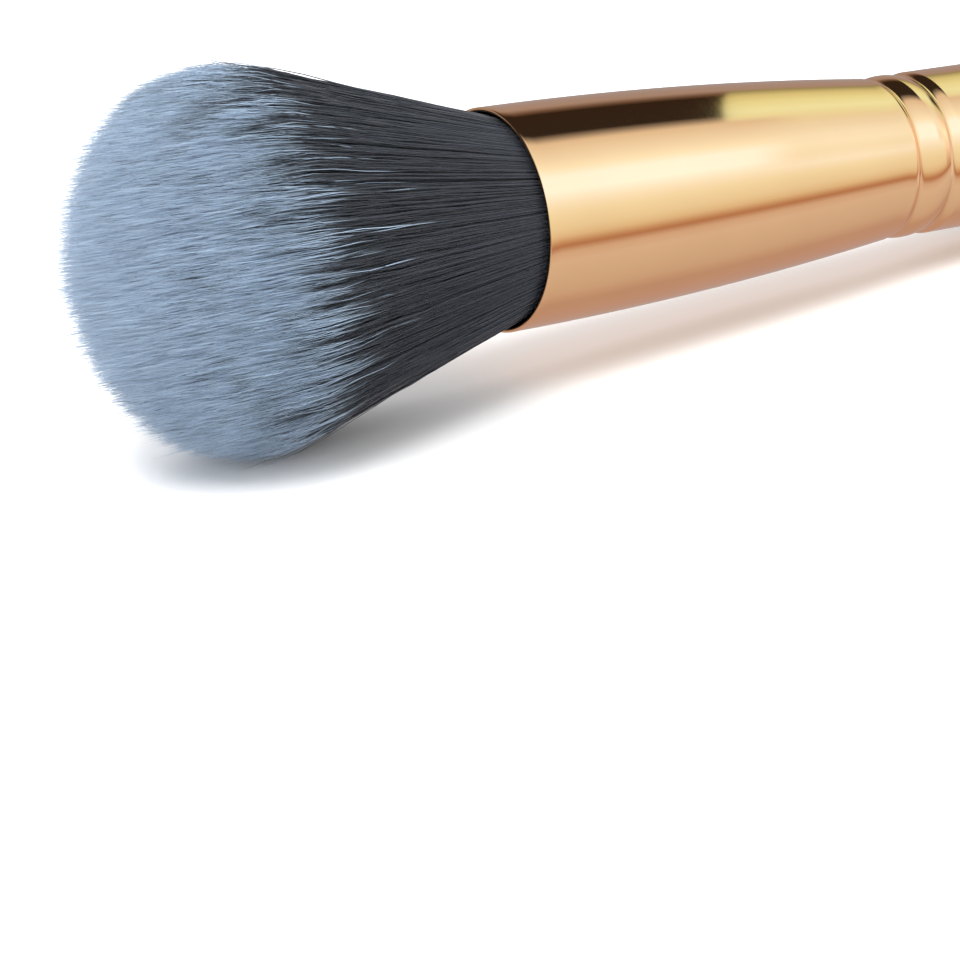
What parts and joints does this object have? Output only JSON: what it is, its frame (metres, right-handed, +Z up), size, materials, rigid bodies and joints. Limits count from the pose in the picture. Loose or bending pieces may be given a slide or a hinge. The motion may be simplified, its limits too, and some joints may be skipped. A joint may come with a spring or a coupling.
{
  "type": "nail dust brush",
  "caption": "Round nail dusting brush: a soft two-tone dome-shaped tuft in a tapered polished metal ferrule, crimped onto a slim turned handle.",
  "frame": {"origin": "on the brush's axis, at the middle of the ferrule's straight rear band, where a brush rack holds it", "axes": "+X along the brush from the hair to the butt of the handle, +Z up with the brush lying level, +Y across it"},
  "size_m": [0.2003, 0.0396, 0.0396],
  "materials": {
    "ferrule": "polished rose gold anodised",
    "handle": "black gloss lacquer",
    "bristles": "soft crimped synthetic hair, dark at the root and pale blue grey at the tip",
    "thread": "waxed binding thread",
    "root_glue": "cast amber epoxy",
    "tenon_glue": "cured clear glue"
  },
  "bodies": {
    "root": {"ferrule": "ferrule", "handle": "handle", "bristle_head": "bristles", "binding_thread": "thread", "root_glue": "root_glue", "tenon_glue": "tenon_glue"}
  },
  "joints": []
}
